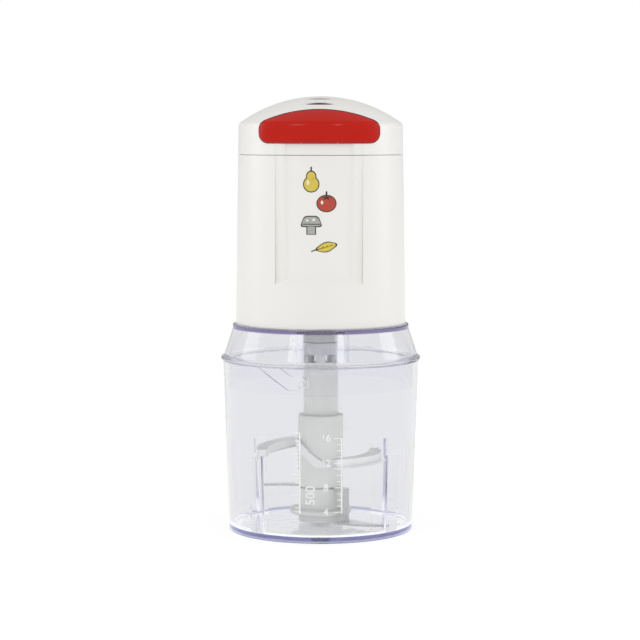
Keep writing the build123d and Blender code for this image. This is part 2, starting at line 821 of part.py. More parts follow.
def make_switch_shelf():
    shelf = block(about(0, shelf_post_x + shelf_margin), (switch_front_y, shelf_post_y + shelf_margin),
                  (shelf_z, shelf_top))
    room = head_form(head_wall + tongue_wall + cut_margin)
    shelf &= room
    guide_back = guide_y + guide_wall
    for side in (-1, 1):
        guide = block(about(side * peg_x, guide_half_width), (guide_y, guide_back),
                      (shelf_top, peg_z + guide_half_width)) & room
        shelf += guide - front_pin(peg_r + peg_gap, side * peg_x, peg_z, guide_y, guide_back)
    for x, y in shelf_screw_spots:
        shelf -= post(x, y, motor_screw_r + screw_gap, shelf_z, shelf_top)
    return shelf


def make_switch_body():
    wide, deep, tall = switch_size
    body = block(about(0, wide / 2), (switch_front_y, switch_front_y + deep), (shelf_top, shelf_top + tall))
    body = chamfer(body.edges().filter_by(Axis.Y), switch_edge)
    bore_end = switch_front_y + plunger_depth + button_travel + plunger_stop
    return body - front_pin(plunger_r + running_gap, 0, peg_z, switch_front_y, bore_end)


def make_switch_plunger():
    plunger = front_pin(plunger_r, 0, peg_z, switch_front_y - plunger_reach, switch_front_y + plunger_depth)
    return fillet(plunger.edges().sort_by(Axis.Y)[0], pusher_rim)


# Motor: two-pole stator with saddle coils round a slotted armature
def make_stator_core():
    core = ring(stator_r, yoke_r, stack_z, stack_top)
    for angle in (0.0, 180.0):
        core += sector(yoke_r + weld, armature_r + air_gap, angle, pole_half_angle, stack_z, stack_top)
    for x, y in motor_screw_spots:
        core += post(x, y, post_r, stack_z, stack_top)
        core -= post(x, y, motor_screw_r + screw_gap, stack_z, stack_top)
    return core


def make_field_coils():
    low, high = stack_z - coil_overhang, stack_top + coil_overhang
    inner, outer = armature_r + air_gap + coil_lift, yoke_r - winding_gap
    coils = []
    for angle in (0.0, 180.0):
        window = sector(yoke_r, armature_r, angle, pole_half_angle + coil_slack_angle,
                        stack_z - winding_gap, stack_top + winding_gap)
        coils.append(sector(outer, inner, angle, coil_half_angle, low, high) - window)
    return coils


def make_armature_core():
    core = ring(armature_r, shaft_r, stack_z, stack_top)
    slot = block(about(0, slot_width / 2), (-armature_r - cut_margin, slot_depth - armature_r),
                 (stack_z, stack_top))
    for cut in around(slot_count, slot):
        core -= cut
    return core


def make_armature_windings():
    root, crown = armature_r - slot_depth + winding_gap, armature_r - coil_lift
    turns = ring(crown - coil_lift, shaft_r + winding_core, stack_top, stack_top + coil_overhang)
    turns += ring(crown - coil_lift, shaft_r + winding_core, stack_z - coil_overhang, stack_z)
    bar = block(about(0, slot_width / 2 - winding_gap), (-crown, -root), (stack_z - weld, stack_top + weld))
    for copy in around(slot_count, bar):
        turns += copy
    return turns


def make_commutator():
    body = ring(commutator_r, shaft_r, commutator_z, commutator_top)
    body += ring(commutator_r + riser, shaft_r, commutator_z, commutator_z + riser)
    groove_y = (-commutator_r - riser - cut_margin, groove_depth - commutator_r)
    groove = block(about(0, groove_width / 2), groove_y, (commutator_z, commutator_top))
    for cut in around(slot_count, groove):
        body -= cut
    return body


def make_motor_shaft():
    return disc(shaft_r, coupling_low + dog_height + shaft_seat, shaft_top)


def make_cooling_fan():
    hub_radius, fan_top = shaft_r + fan_hub_wall, fan_z + fan_height
    fan = ring(hub_radius, shaft_r, fan_z, fan_top) + ring(fan_r, shaft_r, fan_top - fan_disc, fan_top)
    blade = block(about(0, fan_blade_thick / 2), (-fan_r, weld - hub_radius),
                  (fan_z, fan_top - fan_disc / 2))
    for copy in around(fan_blades, blade):
        fan += copy
    return fan


def make_bush(low):
    return ring(bush_r, shaft_r + bearing_gap, low, low + bush_length)


def make_motor_bracket():
    half = bracket_width / 2
    seat_top = upper_bush_z + bush_length + bush_seat
    bracket = block(about(0, half), about(0, post_radius), (bracket_z, bracket_top))
    bracket += disc(bush_r + seat_wall, bracket_z, seat_top)
    arm_low = brush_z + brush_size[1] / 2 + holder_wall
    for side in (-1, 1):
        whole, end = [sorted((side * near, side * holder_end)) for near in (bush_r, holder_near)]
        bracket += block(whole, about(0, half / 2), (bracket_z, bracket_top))
        bracket += block(end, about(0, half / 2), (arm_low, bracket_top))
    for x, y in motor_screw_spots:
        bracket += post(x, y, post_r, stack_top, bracket_top)
        bracket -= post(x, y, motor_screw_r + screw_gap, stack_top, bracket_top)
    return bracket - disc(bush_r, bracket_z, seat_top)


def brush_frame(side, near, far, grow):
    """Box along X on one side of the commutator, around the brush's section."""
    wide, tall = brush_size[0] / 2 + grow, brush_size[1] / 2 + grow
    return block(sorted((side * near, side * far)), about(0, wide), about(brush_z, tall))


def make_brush_holders():
    inside_end = holder_end - holder_wall
    return [brush_frame(side, holder_near, holder_end, holder_wall)
            - brush_frame(side, holder_near, inside_end, running_gap) for side in (-1, 1)]


def make_carbon_brushes():
    running = disc(commutator_r + brush_play, commutator_z, commutator_top)
    return [brush_frame(side, commutator_r - cut_margin, commutator_r + brush_length, 0) - running
            for side in (-1, 1)]


def make_brush_springs():
    near = commutator_r + brush_length + brush_spring_wire_r + seat_gap
    far = holder_end - holder_wall - brush_spring_wire_r - seat_gap
    coil = spring((0, near, brush_z), far - near, brush_spring_r, brush_spring_wire_r, brush_spring_turns)
    return [Rot(0, 0, turn) * coil for turn in (-90.0, 90.0)]


def make_lead_wires():
    back = switch_front_y + switch_size[1]
    outside = holder_end + wire_side
    wires = []
    for side in (-1, 1):
        start = (side * wire_x, back, peg_z)
        route = [start, (side * wire_x, back + wire_run, peg_z), (side * outside, 0, peg_z - wire_drop),
                 (side * outside, 0, brush_z), (side * holder_end, 0, brush_z)]
        section = Plane(origin=start, z_dir=(0, 1, 0)) * Circle(wire_r)
        wires.append(sweep(section, path=FilletPolyline(*route, radius=wire_bend_r)))
    return wires


base_screw_spots = [spot(angle, base_screw_radius) for angle in base_screw_angles]
motor_screw_spots = [(0, -post_radius), (0, post_radius)]
shelf_screw_spots = [(-shelf_post_x, shelf_post_y), (shelf_post_x, shelf_post_y)]
shell = head_shell()
motor_housing = make_motor_housing(shell)

pieces = {
    "bowl": make_bowl(),
    "spindle_pin": make_spindle_pin(),
    "hub_lower": make_hub_lower(),
    "hub_bush": make_hub_bush(),
    "hub_upper": make_hub_upper(),
    "blade_clutch": make_blade_clutch(),
    "lower_blade": make_lower_blade(),
    "upper_blade": make_upper_blade(),
    "lid": make_lid(),
    "lid_seal": make_lid_seal(),
    "motor_housing": motor_housing,
    "top_cover": make_top_cover(shell),
    "vent_pads": make_vent_pads(),
    "base_plate": make_base_plate(),
    "base_screws": screws(base_screw_spots, plate_z, deck_z + screw_bite, True),
    "cord_grommet": make_cord_grommet(motor_housing),
    "button": make_button(),
    "button_springs": make_button_springs(),
    "switch_shelf": make_switch_shelf(),
    "shelf_screws": screws(shelf_screw_spots, shelf_z, shelf_top + screw_bite, True),
    "switch_body": make_switch_body(),
    "switch_plunger": make_switch_plunger(),
    "stator_core": make_stator_core(),
    "field_coils": make_field_coils(),
    "motor_bracket": make_motor_bracket(),
    "motor_screws": screws(motor_screw_spots, bracket_top, stack_z - screw_bite, False),
    "lower_bush": make_bush(lower_bush_z),
    "upper_bush": make_bush(upper_bush_z),
    "brush_holders": make_brush_holders(),
    "carbon_brushes": make_carbon_brushes(),
    "brush_springs": make_brush_springs(),
    "lead_wires": make_lead_wires(),
    "motor_shaft": make_motor_shaft(),
    "armature_core": make_armature_core(),
    "armature_windings": make_armature_windings(),
    "commutator": make_commutator(),
    "cooling_fan": make_cooling_fan(),
    "drive_coupling": make_drive_coupling(),
}

os.makedirs("parts", exist_ok=True)
for name, piece in pieces.items():
    parts = piece if isinstance(piece, list) else [piece]
    solids = [solid for part in parts for solid in part.solids()]
    export_step(Compound(children=solids), f"parts/{name}.step")
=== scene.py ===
import json
import math

import bmesh
import bpy
from mathutils import Matrix, Vector


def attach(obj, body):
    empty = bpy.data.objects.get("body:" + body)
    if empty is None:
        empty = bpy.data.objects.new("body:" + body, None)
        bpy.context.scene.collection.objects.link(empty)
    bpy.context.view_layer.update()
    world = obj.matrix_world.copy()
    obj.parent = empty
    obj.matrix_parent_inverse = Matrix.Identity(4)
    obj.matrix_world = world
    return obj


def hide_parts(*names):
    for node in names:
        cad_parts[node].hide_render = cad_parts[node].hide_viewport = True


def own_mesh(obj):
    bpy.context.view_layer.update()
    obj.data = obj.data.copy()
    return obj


# Looks of a compact electric chopper: an ivory motor head on a clear twist-lock lid and bowl.
# Metres, +Z up, origin in the middle of the bowl's underside, front towards -Y.

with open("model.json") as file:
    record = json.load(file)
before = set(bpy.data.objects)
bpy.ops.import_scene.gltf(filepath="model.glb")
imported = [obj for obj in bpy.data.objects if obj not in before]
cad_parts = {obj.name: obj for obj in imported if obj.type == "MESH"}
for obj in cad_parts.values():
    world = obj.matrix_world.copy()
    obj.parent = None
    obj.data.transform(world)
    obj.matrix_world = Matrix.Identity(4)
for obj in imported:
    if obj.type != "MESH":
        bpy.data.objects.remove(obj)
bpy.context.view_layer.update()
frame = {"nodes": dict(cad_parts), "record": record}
nodes = frame["nodes"]
scene = bpy.context.scene
mm = 0.001

# Camera, as the photograph was taken: level with the head and tilted down a little
camera_shift = -0.0004
camera_turn = 1.3
camera_distance = 1.3
camera_height = 0.2372
camera_tilt = 4.917
camera_lens = 122.69
camera_sensor = 36.0
camera_near = 0.05
camera_far = 50.0
lamp_aim = (0, 0, 0.15)
side_aim = (0, 0, 0.16)

# Bowl wall and recess floor that carry the printing
bowl_foot_r = 54.9 * mm
bowl_rim_r = 58.4 * mm
bowl_height = 101.8 * mm
recess_floor_r = 47.2 * mm

# Clear plastic: its own tone, the violet painted at foot and crown where light runs long paths through
# them, and the painted shade on the sides of the bayonet channels
clear_colour = (0.976, 0.98, 0.994)
flow_scale = 150.0
flow_stretch = (1, 1, 0.05)
flow_depth = 0.4 * mm
# Violet painted at the foot, standing in for light running long paths through the thick plastic
foot_painted_violet = (0.3, 0.31, 0.56)
foot_inner_r = bowl_foot_r - 1.6 * mm
foot_outer_r = bowl_foot_r - 0.8 * mm
foot_clear_z = 4.4 * mm
foot_deep_z = 3.0 * mm
# Violet painted at the crown, standing in for light running long paths through the thick plastic
crown_painted_violet = (0.32, 0.27, 0.46)
crown_inner_r = 50.4 * mm
crown_outer_r = 51.4 * mm
crown_clear_z = 120.8 * mm
crown_deep_z = 121.4 * mm
# Painted shade on the sides of the bayonet channels
channel_painted_shade = (0.34, 0.34, 0.4)
channel_low_z = 66.0 * mm
channel_high_z = 100.0 * mm
channel_fade = 1.0 * mm
channel_facing_out = 0.8
channel_facing_aside = 0.4

# Blade hub and its moulded arms
hub_colour = (0.64, 0.645, 0.62)
hub_gloss = (0.38, 0.5)
# Arms painted lighter than the hub's plastic, standing in for the light they lack
arm_painted_light = (0.82, 0.82, 0.81)
arm_inner_r = 14.2 * mm
arm_outer_r = 17.0 * mm

# Texture of plastic and metal; noise values lie mostly between the two ends given
noise_low = 0.3
noise_high = 0.7
skin_scale = 2600.0
skin_depth = 0.02 * mm
skin_strength = 0.3
ink_skin = 0.01 * mm
brush_depth = 0.01 * mm
brush_shade = 0.88
band_depth = 0.15 * mm

# Springs behind the button
weld = 0.001 * mm

# Printed measuring scale
print_strip = 0.9 * mm
ink_sink = 0.03 * mm
ink_proud = 0.06 * mm
scale_x = 12.2 * mm
scale_low = 17.4 * mm
scale_zero = 4.2 * mm
scale_line = 0.9 * mm
tick_long = 4.4 * mm
tick_short = 2.8 * mm
tick_line = 0.5 * mm
rise_per_ounce = 3.6 * mm
rise_per_step = 2.435 * mm
top_ounces = 16
top_steps = 25
digit_height = 4.0 * mm
digit_x = 3.0 * mm
digit_weight = 0.12 * mm
digit_share = 0.7
volume_height = 5.4 * mm
volume_x = -5.8 * mm
volume_z = 28.4 * mm
volume_turn = 90.0

# Motifs on the head
motif_rows = (209.0 * mm, 196.5 * mm, 184.0 * mm, 171.5 * mm)
motif_offset = 4.4 * mm
motif_outline = 0.6 * mm
motif_unit = 1.22 * mm
fill_proud = 2 * ink_proud
detail_proud = 3 * ink_proud
disc_sides = 40


# Camera, light and ground
def place_camera():
    data = bpy.data.cameras.new("camera")
    data.lens, data.sensor_width = camera_lens, camera_sensor
    data.clip_start, data.clip_end = camera_near, camera_far
    camera = bpy.data.objects.new("camera", data)
    turn = math.radians(camera_turn)
    stand = Matrix.Rotation(turn, 3, "Z") @ Vector((camera_shift, -camera_distance, camera_height))
    camera.location = stand
    camera.rotation_euler = (math.radians(90.0 - camera_tilt), 0, turn)
    scene.collection.objects.link(camera)
    scene.camera = camera


def softbox(name, place, aim, width, height, watts):
    """A rectangular area lamp at a place, turned to an aim."""
    data = bpy.data.lights.new(name, "AREA")
    data.shape, data.size, data.size_y, data.energy = "RECTANGLE", width, height, watts
    lamp = bpy.data.objects.new(name, data)
    lamp.location = place
    lamp.rotation_euler = (Vector(aim) - Vector(place)).to_track_quat("-Z", "Y").to_euler()
    lamp.visible_camera = False
    lamp.visible_transmission = False
    scene.collection.objects.link(lamp)


def between(tree, value, low, high):
    """Goes from low to high as a value goes from 0 to 1; each end is a number or another socket."""
    ramp = tree.nodes.new("ShaderNodeMapRange")
    for socket, end in (("Value", value), ("To Min", low), ("To Max", high)):
        if isinstance(end, bpy.types.NodeSocket):
            tree.links.new(end, ramp.inputs[socket])
        else:
            ramp.inputs[socket].default_value = end
    return ramp.outputs["Result"]


def light_world(side, zenith, gloss, through, mirrored, inside):
    """White to the camera and a softer fill for the rest, weaker from above.

    The clear pieces show their own pale surroundings, and what stands inside them gets a stronger fill.
    """
    world = bpy.data.worlds.new("studio")
    world.use_nodes = True
    scene.world = world
    tree = world.node_tree
    background = tree.nodes["Background"]
    background.inputs["Color"].default_value = (1, 1, 1, 1)
    way = tree.nodes.new("ShaderNodeTexCoord")
    height = tree.nodes.new("ShaderNodeSeparateXYZ")
    tree.links.new(way.outputs["Generated"], height.inputs[0])
    rays = tree.nodes.new("ShaderNodeLightPath").outputs
    fill = between(tree, height.outputs["Z"], side, zenith)
    open_air = between(tree, rays["Is Glossy Ray"], fill, gloss)
    reflected = between(tree, rays["Glossy Depth"], through, mirrored)
    behind_clear = between(tree, rays["Diffuse Depth"], reflected, inside)
    shown = between(tree, rays["Is Transmission Ray"], open_air, behind_clear)
    tree.links.new(between(tree, rays["Is Camera Ray"], shown, 1.0), background.inputs["Strength"])


def lay_floor(size, white, glow, through, through_glow, inside):
    """A pale floor that shows white with a soft trace of the shadow, and more of it through the bowl.

    It lights what stands inside the clear pieces more strongly than it shows.
    """
    bm = bmesh.new()
    bmesh.ops.create_grid(bm, x_segments=1, y_segments=1, size=size)
    mesh = bpy.data.meshes.new("floor")
    bm.to_mesh(mesh)
    bm.free()
    floor = bpy.data.objects.new("floor", mesh)
    scene.collection.objects.link(floor)
    material = bpy.data.materials.new("floor_paper")
    material.use_nodes = True
    tree = material.node_tree
    tree.nodes.clear()
    output = tree.nodes.new("ShaderNodeOutputMaterial")
    paper = tree.nodes.new("ShaderNodeBsdfDiffuse")
    paper.inputs["Color"].default_value = (0.9, 0.9, 0.9, 1)
    shine = tree.nodes.new("ShaderNodeEmission")
    shine.inputs["Color"].default_value = (1, 1, 1, 1)
    rays = tree.nodes.new("ShaderNodeLightPath").outputs
    behind_clear = between(tree, rays["Diffuse Depth"], through, inside)
    strength = between(tree, rays["Is Transmission Ray"], white, behind_clear)
    tree.links.new(strength, shine.inputs["Strength"])
    shown = between(tree, rays["Is Glossy Ray"], between(tree, rays["Is Camera Ray"], 0.0, glow), glow)
    seen_through = between(tree, rays["Diffuse Depth"], through_glow, glow)
    mix = tree.nodes.new("ShaderNodeMixShader")
    tree.links.new(between(tree, rays["Is Transmission Ray"], shown, seen_through), mix.inputs["Fac"])
    tree.links.new(paper.outputs[0], mix.inputs[1])
    tree.links.new(shine.outputs[0], mix.inputs[2])
    tree.links.new(mix.outputs[0], output.inputs["Surface"])
    mesh.materials.append(material)


# Finishes
def finish(name, colour, roughness, **sockets):
    """A Principled material with its plain values set on the shader's own sockets."""
    material = bpy.data.materials.new(name)
    material.use_nodes = True
    shader = material.node_tree.nodes["Principled BSDF"]
    shader.inputs["Base Color"].default_value = (*colour, 1)
    shader.inputs["Roughness"].default_value = roughness
    for socket, value in sockets.items():
        shader.inputs[socket.replace("_", " ")].default_value = value
    return material


def object_place(tree, stretch=(1, 1, 1)):
    """Object coordinates, stretched along the axes."""
    place = tree.nodes.new("ShaderNodeTexCoord")
    mapping = tree.nodes.new("ShaderNodeMapping")
    mapping.inputs["Scale"].default_value = stretch
    tree.links.new(place.outputs["Object"], mapping.inputs["Vector"])
    return mapping.outputs["Vector"]


def noise(tree, scale, detail=3.0, stretch=(1, 1, 1)):
    texture = tree.nodes.new("ShaderNodeTexNoise")
    texture.inputs["Scale"].default_value = scale
    texture.inputs["Detail"].default_value = detail
    tree.links.new(object_place(tree, stretch), texture.inputs["Vector"])
    return texture.outputs["Fac"]


def bands(tree, direction, per_metre):
    """Even bands across one axis: laminations or wound wire."""
    texture = tree.nodes.new("ShaderNodeTexWave")
    texture.bands_direction = direction
    texture.inputs["Scale"].default_value = per_metre
    tree.links.new(object_place(tree), texture.inputs["Vector"])
    return texture.outputs["Fac"]


def passed(tree, value, start, end):
    """Goes from 0 to 1 as a value goes from a start to an end."""
    ramp = tree.nodes.new("ShaderNodeMapRange")
    ramp.inputs["From Min"].default_value, ramp.inputs["From Max"].default_value = start, end
    tree.links.new(value, ramp.inputs["Value"])
    return ramp.outputs["Result"]


def times(tree, first, second):
    product = tree.nodes.new("ShaderNodeMath")
    product.operation = "MULTIPLY"
    tree.links.new(first, product.inputs[0])
    tree.links.new(second, product.inputs[1])
    return product.outputs[0]


def off_axis(tree, inner_r, outer_r):
    """Goes from 0 to 1 between two distances from the blade's axis."""
    across = tree.nodes.new("ShaderNodeVectorMath")
    across.operation = "LENGTH"
    tree.links.new(object_place(tree, (1, 1, 0)), across.inputs[0])
    return passed(tree, across.outputs["Value"], inner_r, outer_r)


def up_axis(tree, start, end):
    """Goes from 0 to 1 between two heights."""
    height = tree.nodes.new("ShaderNodeSeparateXYZ")
    tree.links.new(object_place(tree), height.inputs[0])
    return passed(tree, height.outputs["Z"], start, end)


def vary_roughness(material, low, high, scale, stretch=(1, 1, 1)):
    """Gloss that drifts between two values."""
    tree = material.node_tree
    drift = passed(tree, noise(tree, scale, stretch=stretch), noise_low, noise_high)
    tree.links.new(between(tree, drift, low, high), tree.nodes["Principled BSDF"].inputs["Roughness"])
    return material


def vary_colour(material, first, second, value):
    """Colour that goes from one tone to another with a texture's value."""
    tree = material.node_tree
    ramp = tree.nodes.new("ShaderNodeValToRGB")
    for end, place, tone in zip(ramp.color_ramp.elements, (noise_low, noise_high), (first, second)):
        end.position, end.color = place, (*tone, 1)
    tree.links.new(value, ramp.inputs["Fac"])
    tree.links.new(ramp.outputs["Color"], tree.nodes["Principled BSDF"].inputs["Base Color"])
    return material


def grain(material, value, depth, strength):
    """Fine relief of the surface from a texture's value."""
    tree = material.node_tree
    bump = tree.nodes.new("ShaderNodeBump")
    bump.inputs["Distance"].default_value = depth
    bump.inputs["Strength"].default_value = strength
    tree.links.new(value, bump.inputs["Height"])
    tree.links.new(bump.outputs["Normal"], tree.nodes["Principled BSDF"].inputs["Normal"])
    return material


def clear_plastic(name, depth_colour, density, bending, low, high, flow):
    """Clear moulded plastic with faint upright flow lines, whose long paths at edges turn violet."""
    material = finish(name, clear_colour, (low + high) / 2, Transmission_Weight=1.0, IOR=bending)
    vary_roughness(material, low, high, 90.0)
    tree = material.node_tree
    grain(material, noise(tree, flow_scale, 2.0, flow_stretch), flow_depth, flow)
    absorption = tree.nodes.new("ShaderNodeVolumeAbsorption")
    absorption.inputs["Color"].default_value = (*depth_colour, 1)
    absorption.inputs["Density"].default_value = density
    tree.links.new(absorption.outputs["Volume"], tree.nodes["Material Output"].inputs["Volume"])
    return material


def tinted_edge(material, inner_r, outer_r, clear_z, deep_z, painted_violet):
    """Painted violet round an outer edge, standing in for the light that runs along the plastic."""
    tree = material.node_tree
    share = times(tree, off_axis(tree, inner_r, outer_r), up_axis(tree, clear_z, deep_z))
    return vary_colour(material, clear_colour, painted_violet, share)


def drawn_channel(material):
    """Painted shade on the sides of the bayonet channels, whose faces turn away from the bowl's radius."""
    tree = material.node_tree
    outwards = tree.nodes.new("ShaderNodeVectorMath")
    outwards.operation = "NORMALIZE"
    tree.links.new(object_place(tree, (1, 1, 0)), outwards.inputs[0])
    facing = tree.nodes.new("ShaderNodeVectorMath")
    facing.operation = "DOT_PRODUCT"
    tree.links.new(outwards.outputs[0], facing.inputs[0])
    tree.links.new(tree.nodes.new("ShaderNodeTexCoord").outputs["Normal"], facing.inputs[1])
    either_way = tree.nodes.new("ShaderNodeMath")
    either_way.operation = "ABSOLUTE"
    tree.links.new(facing.outputs["Value"], either_way.inputs[0])
    share = passed(tree, either_way.outputs[0], channel_facing_out, channel_facing_aside)
    share = times(tree, share, up_axis(tree, channel_low_z, channel_low_z + channel_fade))
    share = times(tree, share, up_axis(tree, channel_high_z, channel_high_z - channel_fade))
    base = tree.nodes["Principled BSDF"].inputs["Base Color"]
    mix = tree.nodes.new("ShaderNodeMix")
    mix.data_type = "RGBA"
    tree.links.new(share, mix.inputs["Factor"])
    tree.links.new(base.links[0].from_socket, mix.inputs["A"])
    mix.inputs["B"].default_value = (*channel_painted_shade, 1)
    tree.links.new(mix.outputs["Result"], base)
    return material


def soft_clear():
    """Clear silicone with a milky skin."""
    material = finish("silicone", (0.97, 0.97, 0.99), 0.3, Transmission_Weight=0.92, IOR=1.41)
    vary_roughness(material, 0.22, 0.4, 120.0)
    return grain(material, noise(material.node_tree, 900.0, 2.0), skin_depth, skin_strength)


def skinned(material, low, high, depth):
    """Uneven gloss and a fine skin, as a mould leaves them."""
    vary_roughness(material, low, high, 60.0)
    return grain(material, noise(material.node_tree, skin_scale, 2.0), depth, skin_strength)


def moulded(name, colour, shade, low, high, depth=skin_depth, **sockets):
    """Injection-moulded plastic with a faint drift of tone."""
    material = finish(name, colour, (low + high) / 2, **sockets)
    darker = [part * shade for part in colour]
    vary_colour(material, colour, darker, noise(material.node_tree, 16.0, 2.0))
    return skinned(material, low, high, depth)


def pale_arms(name):
    """The hub's plastic, painted lighter along its thin arms to stand in for light they lack."""
    material = finish(name, hub_colour, sum(hub_gloss) / 2)
    out_along_arm = off_axis(material.node_tree, arm_inner_r, arm_outer_r)
    vary_colour(material, hub_colour, arm_painted_light, out_along_arm)
    return skinned(material, *hub_gloss, skin_depth)


def brushed(name, colour, low, high, stretch):
    """Rolled or ground metal with its lines along one direction."""
    material = finish(name, colour, (low + high) / 2, Metallic=1.0)
    tree = material.node_tree
    vary_roughness(material, low, high, 400.0, stretch)
    darker = [part * brush_shade for part in colour]
    vary_colour(material, colour, darker, noise(tree, 300.0, 3.0, stretch))
    return grain(material, noise(tree, 900.0, 2.0, stretch), brush_depth, 0.25)


def banded(name, colour, groove, per_metre, direction, metallic, roughness):
    """Stacked sheets or wound wire: bands of relief and tone."""
    material = finish(name, colour, roughness, Metallic=metallic)
    tree = material.node_tree
    lines = bands(tree, direction, per_metre)
    vary_colour(material, groove, colour, lines)
    return grain(material, lines, band_depth, 0.7)


# One finish for each material slot; moulded ones give a colour, its darker share, and two ends of roughness
finishes = {
    "clear_plastic": drawn_channel(tinted_edge(
        clear_plastic("clear_plastic", (0.2, 0.17, 0.56), density=3.6, bending=1.5,
                      low=0.01, high=0.035, flow=0.18),
        foot_inner_r, foot_outer_r, foot_clear_z, foot_deep_z, foot_painted_violet)),
    "white_plastic": moulded("white_plastic", (0.862, 0.854, 0.822), 0.985, 0.28, 0.38),
    "red_plastic": moulded("red_plastic", (0.515, 0.012, 0.005), 0.96, 0.12, 0.2,
                           Specular_IOR_Level=0.2),
    "hub_plastic": moulded("hub_plastic", hub_colour, 0.98, *hub_gloss),
    "bush_plastic": moulded("bush_plastic", (0.55, 0.55, 0.53), 0.95, 0.4, 0.5),
    # Coupling partly painted light: a light grey plastic, painted paler still to make up for its shade
    # under the head
    "coupling_plastic": moulded("coupling_plastic", (0.93, 0.93, 0.94), 0.97, 0.4, 0.52),
    "inner_plastic": moulded("inner_plastic", (0.045, 0.045, 0.047), 0.8, 0.45, 0.6),
    "silicone": soft_clear(),
    "rubber": moulded("rubber", (0.72, 0.72, 0.7), 0.94, 0.55, 0.7, 0.04 * mm),
    # Near-black foam in the vent slots, standing in for painted shade inside them
    "vent_foam": moulded("vent_foam", (0.012, 0.012, 0.013), 0.6, 0.75, 0.9, 0.3 * mm),
    "wire_cover": moulded("wire_cover", (0.06, 0.06, 0.07), 0.85, 0.4, 0.55),
    "carbon": moulded("carbon", (0.03, 0.03, 0.032), 0.8, 0.55, 0.7),
    "steel": brushed("steel", (0.66, 0.66, 0.65), 0.2, 0.34, (1, 12, 1)),
    "screw_steel": brushed("screw_steel", (0.55, 0.55, 0.54), 0.25, 0.42, (1, 1, 14)),
    "core_steel": banded("core_steel", (0.34, 0.34, 0.35), (0.2, 0.2, 0.21), 320.0, "Z", 0.9, 0.42),
    "copper": banded("copper", (0.62, 0.27, 0.12), (0.36, 0.13, 0.05), 260.0, "Z", 0.8, 0.3),
    "bronze": brushed("bronze", (0.55, 0.39, 0.19), 0.32, 0.46, (1, 1, 8)),
}

# Nodes that differ from the rest of their slot
own_finishes = {
    "hub_upper": pale_arms("arm_plastic"),
    # Clutch painted lighter than the hub, partly to make up for its shade under the head
    "blade_clutch": moulded("clutch_plastic", (0.69, 0.69, 0.68), 0.98, *hub_gloss),
    "upper_blade": brushed("arm_steel", (0.95, 0.95, 0.95), 0.16, 0.28, (1, 12, 1)),
    "lid": tinted_edge(
        clear_plastic("clear_lid", (0.06, 0.02, 0.44), density=3.0, bending=1.42,
                      low=0.04, high=0.08, flow=0.05),
        crown_inner_r, crown_outer_r, crown_clear_z, crown_deep_z, crown_painted_violet),
}


def dress_nodes():
    """Gives every CAD node the finish of its material slot, or its own."""
    for part in frame["record"]["subparts"]:
        node = nodes[part["node"]]
        node.data.materials.clear()
        node.data.materials.append(own_finishes.get(part["node"], finishes[part["material_slot"]]))


def coil_springs():
    """The springs behind the button, welded into one smooth mesh that goes with the head."""
    bm = bmesh.new()
    bm.from_mesh(nodes["button_springs"].data)
    bmesh.ops.remove_doubles(bm, verts=bm.verts, dist=weld)
    for face in bm.faces:
        face.smooth = True
    mesh = bpy.data.meshes.new("button_spring_coils")
    bm.to_mesh(mesh)
    bm.free()
    mesh.materials.append(finishes["screw_steel"])
    coils = bpy.data.objects.new("button_spring_coils", mesh)
    scene.collection.objects.link(coils)
    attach(coils, "head")
    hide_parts("button_springs")
    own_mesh(coils)


# Printing: flat artwork in the plane of x and z, raised a little and then laid round a wall
def wall_r(height):
    return bowl_foot_r + (bowl_rim_r - bowl_foot_r) * height / bowl_height


def recess_r(height):
    return recess_floor_r


def flat_shape(points, rounding=0.0, segments=6):
    """A flat outline from a few points, with its corners rounded."""
    bm = bmesh.new()
    bm.faces.new([bm.verts.new((x, 0, z)) for x, z in points])
    if rounding:
        bmesh.ops.bevel(bm, geom=bm.verts[:], offset=rounding, segments=segments, affect="VERTICES",
                        profile=0.5, material=-1, offset_type="OFFSET", clamp_overlap=True)
    return bm


def flat_disc(x, z, radius, stretch=1.0):
    """A flat round, taller by a factor."""
    bm = bmesh.new()
    bmesh.ops.create_circle(bm, cap_ends=True, segments=disc_sides, radius=radius)
    place = Matrix.Translation((x, 0, z)) @ Matrix.Rotation(math.radians(90), 4, "X")
    bmesh.ops.transform(bm, matrix=place @ Matrix.Diagonal((1, stretch, 1, 1)), verts=bm.verts)
    return bm


def flat_text(text, x, z, height, turn=0.0):
    """Plain numbers as a flat mesh about a middle, turned in their plane."""
    curve = bpy.data.curves.new("numbers", "FONT")
    curve.body, curve.size, curve.align_x, curve.align_y = text, height / digit_share, "CENTER", "CENTER"
    curve.offset, curve.resolution_u = digit_weight, 4
    holder = bpy.data.objects.new("numbers", curve)
    mesh = bpy.data.meshes.new_from_object(holder)
    bm = bmesh.new()
    bm.from_mesh(mesh)
    bmesh.ops.remove_doubles(bm, verts=bm.verts, dist=weld)
    upright = Matrix.Rotation(math.radians(-turn), 4, "Y") @ Matrix.Rotation(math.radians(90), 4, "X")
    bmesh.ops.transform(bm, matrix=Matrix.Translation((x, 0, z)) @ upright, verts=bm.verts)
    bpy.data.objects.remove(holder)
    bpy.data.curves.remove(curve)
    bpy.data.meshes.remove(mesh)
    return bm


def bar(x, z, width, height):
    """A flat rectangle about its middle."""
    half, rise = width / 2, height / 2
    return flat_shape([(x - half, z - rise), (x + half, z - rise),
                       (x + half, z + rise), (x - half, z + rise)])


